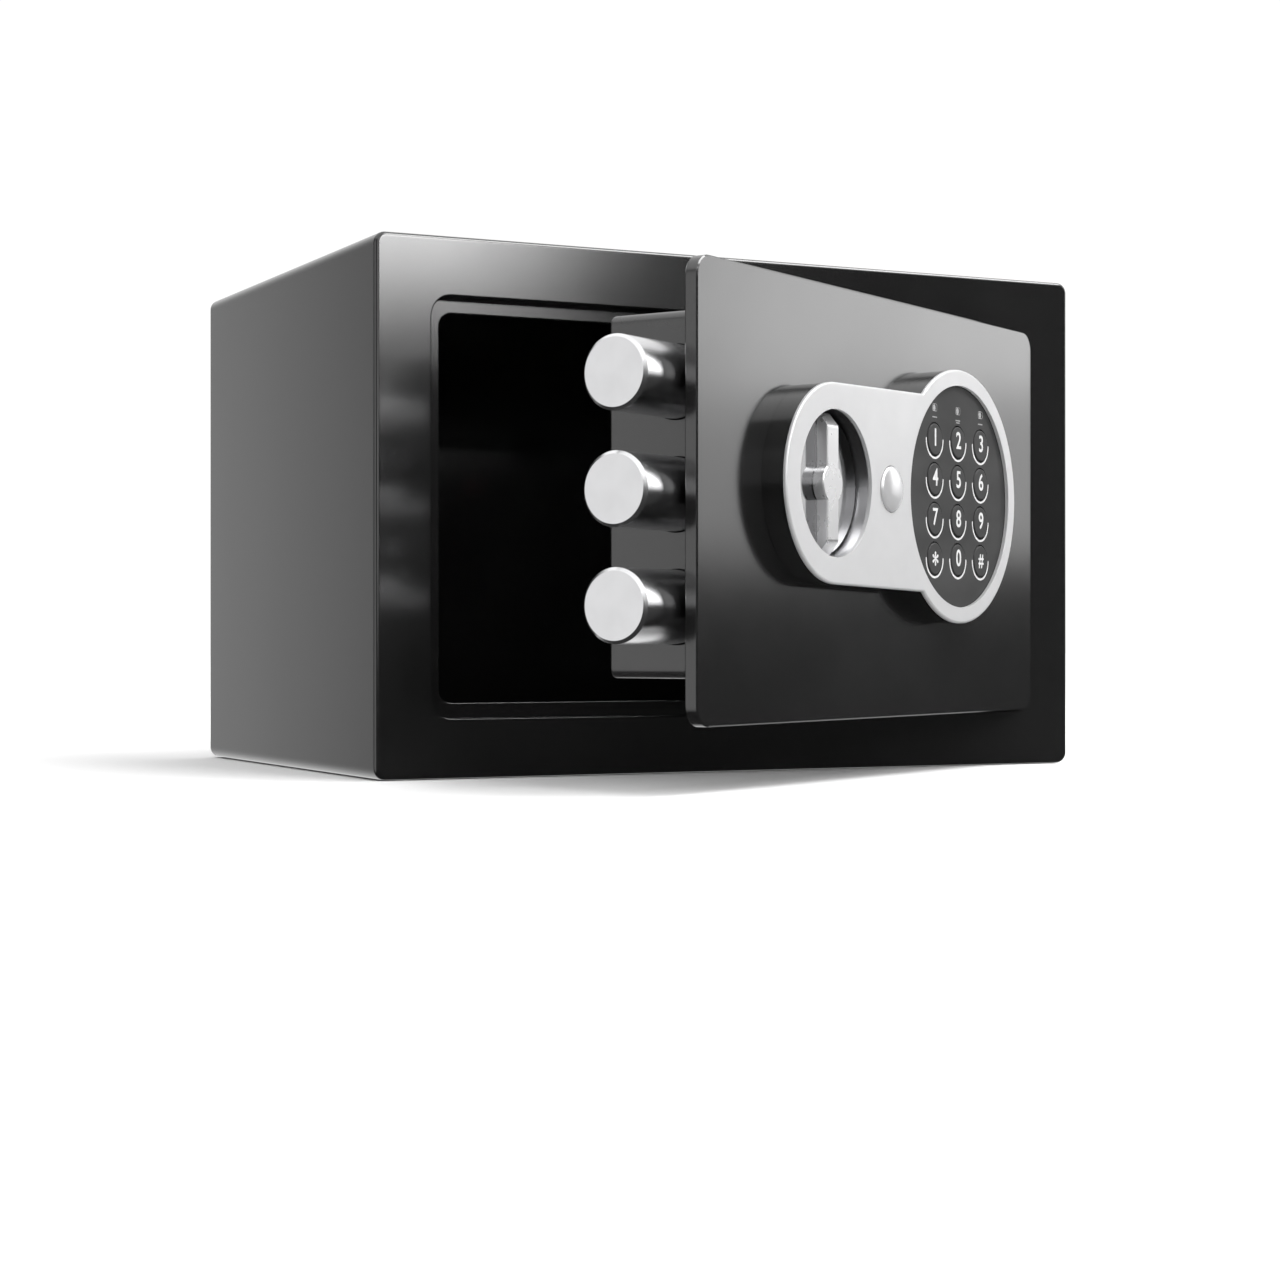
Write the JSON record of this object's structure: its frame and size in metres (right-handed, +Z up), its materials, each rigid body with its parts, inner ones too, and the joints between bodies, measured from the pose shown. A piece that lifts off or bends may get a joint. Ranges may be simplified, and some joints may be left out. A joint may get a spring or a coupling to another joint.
{
  "type": "electronic safe",
  "caption": "Compact steel safe with a round-cornered swinging door, sliding round bolts worked by a turn knob, and a push-button keypad with override lock.",
  "frame": {"origin": "centre of the cabinet's base, on the surface that the safe stands on", "axes": "+Z up, +Y from the door side to the back panel, +X to the right of someone facing the door"},
  "size_m": [0.306, 0.3464, 0.2],
  "materials": {
    "black_gloss": "gloss black paint",
    "case_paint": "dark grey satin paint",
    "polished_steel": "turned and polished",
    "plated_steel": "zinc plated",
    "silver_trim": "satin silver",
    "black_plastic": "gloss",
    "keypad_film": "satin",
    "key_plastic": "satin",
    "brass": "satin",
    "circuit_board": "solder resist",
    "coil_tape": "tape over copper",
    "battery_jacket": "printed film",
    "red_plastic": "gloss",
    "felt": "needled felt",
    "lamp_lens": "clear, unlit",
    "cable_jacket": "pvc"
  },
  "bodies": {
    "cabinet": {"body_shell": "black_gloss", "back_panel": "black_gloss", "door_stop": "black_gloss", "floor_mat": "felt", "hinge_bracket_lower": "plated_steel", "hinge_bracket_upper": "plated_steel", "hinge_pin_lower": "plated_steel", "hinge_pin_upper": "plated_steel"},
    "door": {"door_plate": "black_gloss", "spindle_bush": "brass", "hinge_arm_lower": "plated_steel", "hinge_arm_upper": "plated_steel", "lock_case": "case_paint", "case_posts": "plated_steel", "case_screws": "plated_steel", "bar_guide": "black_plastic", "solenoid_frame": "plated_steel", "solenoid_coil": "coil_tape", "plunger_spring": "plated_steel", "lock_barrel": "brass", "lock_nut": "brass", "keypad_housing": "black_plastic", "face_plate": "silver_trim", "knob_cup": "silver_trim", "keypad_disc": "keypad_film", "keypad_board": "circuit_board", "status_lamps": "lamp_lens", "housing_screws": "plated_steel", "battery_box": "black_plastic", "batteries": "battery_jacket", "battery_contacts": "brass", "control_board": "circuit_board", "board_standoffs": "plated_steel", "keypad_cable": "cable_jacket"},
    "bolt_work": {"bolt_bar": "plated_steel", "bolt_lower": "polished_steel", "bolt_middle": "polished_steel", "bolt_upper": "polished_steel", "bolt_screws": "plated_steel"},
    "turn_knob": {"knob": "silver_trim", "spindle": "plated_steel", "spindle_clip": "plated_steel", "drive_cam": "plated_steel"},
    "plunger": {"plunger": "plated_steel"},
    "lock_plug": {"lock_plug": "brass"},
    "lock_cover": {"lock_cover": "silver_trim"},
    "battery_cover": {"battery_cover": "case_paint"},
    "reset_button": {"reset_button": "red_plastic"},
    "key_1": {"key_1": "key_plastic"},
    "key_2": {"key_2": "key_plastic"},
    "key_3": {"key_3": "key_plastic"},
    "key_4": {"key_4": "key_plastic"},
    "key_5": {"key_5": "key_plastic"},
    "key_6": {"key_6": "key_plastic"},
    "key_7": {"key_7": "key_plastic"},
    "key_8": {"key_8": "key_plastic"},
    "key_9": {"key_9": "key_plastic"},
    "key_star": {"key_star": "key_plastic"},
    "key_0": {"key_0": "key_plastic"},
    "key_hash": {"key_hash": "key_plastic"}
  },
  "joints": [
    {"name": "door_swing", "type": "hinge", "parent": "cabinet", "child": "door", "pos_m": [0.139, -0.0988, 0.1], "axis": [0, 0, 1], "range_deg": [-30.5, 67]},
    {"name": "bolt_slide", "type": "slide", "parent": "door", "child": "bolt_work", "axis": [0.8616, 0.5075, 0], "range_m": [0, 0.0205]},
    {"name": "knob_turn", "type": "hinge", "parent": "door", "child": "turn_knob", "pos_m": [-0.02577, -0.20003, 0.1058], "axis": [-0.5075, 0.8616, 0], "range_deg": [0, 90]},
    {"name": "plunger_drop", "type": "slide", "parent": "door", "child": "plunger", "axis": [0, 0, -1], "range_m": [0, 0.006], "deforming": ["plunger_spring"]},
    {"name": "plug_turn", "type": "hinge", "parent": "door", "child": "lock_plug", "pos_m": [0.00939, -0.17933, 0.1058], "axis": [-0.5075, 0.8616, 0], "range_deg": [0, 90]},
    {"name": "cover_pull", "type": "slide", "parent": "door", "child": "lock_cover", "axis": [0.5075, -0.8616, 0], "range_m": [0, 0.012]},
    {"name": "battery_cover_pull", "type": "slide", "parent": "door", "child": "battery_cover", "axis": [-0.5075, 0.8616, 0], "range_m": [0, 0.015]},
    {"name": "reset_press", "type": "slide", "parent": "door", "child": "reset_button", "axis": [0.5075, -0.8616, 0], "range_m": [0, 0.0015], "stiffness_N_per_m": 300},
    {"name": "key_1_press", "type": "slide", "parent": "door", "child": "key_1", "axis": [-0.5075, 0.8616, 0], "range_m": [0, 0.0012], "stiffness_N_per_m": 400},
    {"name": "key_2_press", "type": "slide", "parent": "door", "child": "key_2", "axis": [-0.5075, 0.8616, 0], "range_m": [0, 0.0012], "stiffness_N_per_m": 400},
    {"name": "key_3_press", "type": "slide", "parent": "door", "child": "key_3", "axis": [-0.5075, 0.8616, 0], "range_m": [0, 0.0012], "stiffness_N_per_m": 400},
    {"name": "key_4_press", "type": "slide", "parent": "door", "child": "key_4", "axis": [-0.5075, 0.8616, 0], "range_m": [0, 0.0012], "stiffness_N_per_m": 400},
    {"name": "key_5_press", "type": "slide", "parent": "door", "child": "key_5", "axis": [-0.5075, 0.8616, 0], "range_m": [0, 0.0012], "stiffness_N_per_m": 400},
    {"name": "key_6_press", "type": "slide", "parent": "door", "child": "key_6", "axis": [-0.5075, 0.8616, 0], "range_m": [0, 0.0012], "stiffness_N_per_m": 400},
    {"name": "key_7_press", "type": "slide", "parent": "door", "child": "key_7", "axis": [-0.5075, 0.8616, 0], "range_m": [0, 0.0012], "stiffness_N_per_m": 400},
    {"name": "key_8_press", "type": "slide", "parent": "door", "child": "key_8", "axis": [-0.5075, 0.8616, 0], "range_m": [0, 0.0012], "stiffness_N_per_m": 400},
    {"name": "key_9_press", "type": "slide", "parent": "door", "child": "key_9", "axis": [-0.5075, 0.8616, 0], "range_m": [0, 0.0012], "stiffness_N_per_m": 400},
    {"name": "key_star_press", "type": "slide", "parent": "door", "child": "key_star", "axis": [-0.5075, 0.8616, 0], "range_m": [0, 0.0012], "stiffness_N_per_m": 400},
    {"name": "key_0_press", "type": "slide", "parent": "door", "child": "key_0", "axis": [-0.5075, 0.8616, 0], "range_m": [0, 0.0012], "stiffness_N_per_m": 400},
    {"name": "key_hash_press", "type": "slide", "parent": "door", "child": "key_hash", "axis": [-0.5075, 0.8616, 0], "range_m": [0, 0.0012], "stiffness_N_per_m": 400}
  ],
  "couplings": [
    {"joint": "knob_turn", "follows": "bolt_slide", "rad_per_m": 76.6}
  ]
}
